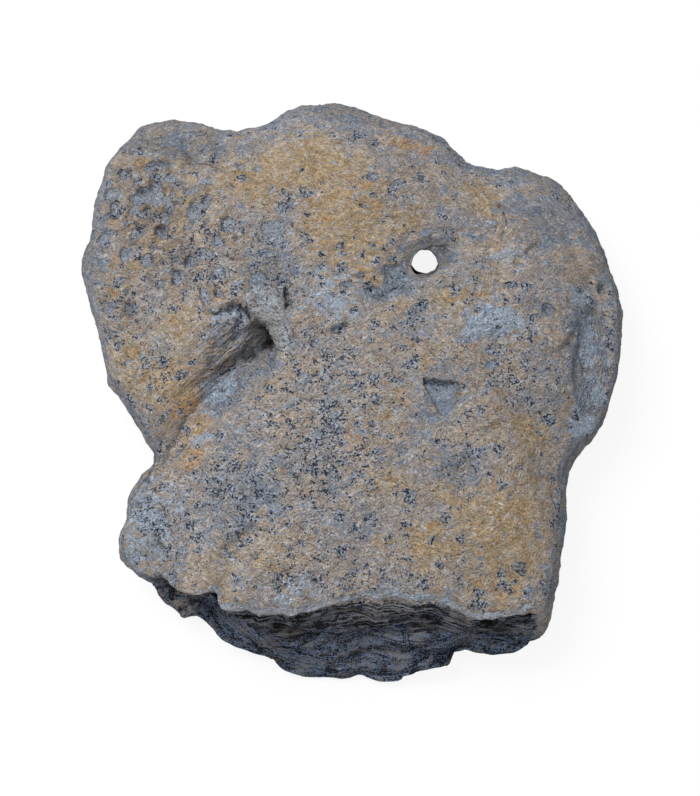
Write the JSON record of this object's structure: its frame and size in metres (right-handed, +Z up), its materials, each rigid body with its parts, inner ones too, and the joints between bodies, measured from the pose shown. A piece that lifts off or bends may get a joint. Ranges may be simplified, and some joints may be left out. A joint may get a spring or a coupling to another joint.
{
  "type": "fossil ankylosaur scute",
  "caption": "Thick bony armour plate from an armoured dinosaur, lying flat, with a slanting vascular canal, a deep pit and groove, small pits and one broken layered edge.",
  "frame": {"origin": "middle of the bounding box in plan, on the ground that the plate lies on", "axes": "+Z up out of the pitted top face, +Y from the broken edge to the thick rounded end, +X to the right of someone at the broken edge"},
  "size_m": [0.1435, 0.1595, 0.0349],
  "materials": {
    "fossil_bone": "matt, tan and blue-grey mineralised bone with dark specks"
  },
  "bodies": {
    "root": {"scute": "fossil_bone"}
  },
  "joints": []
}
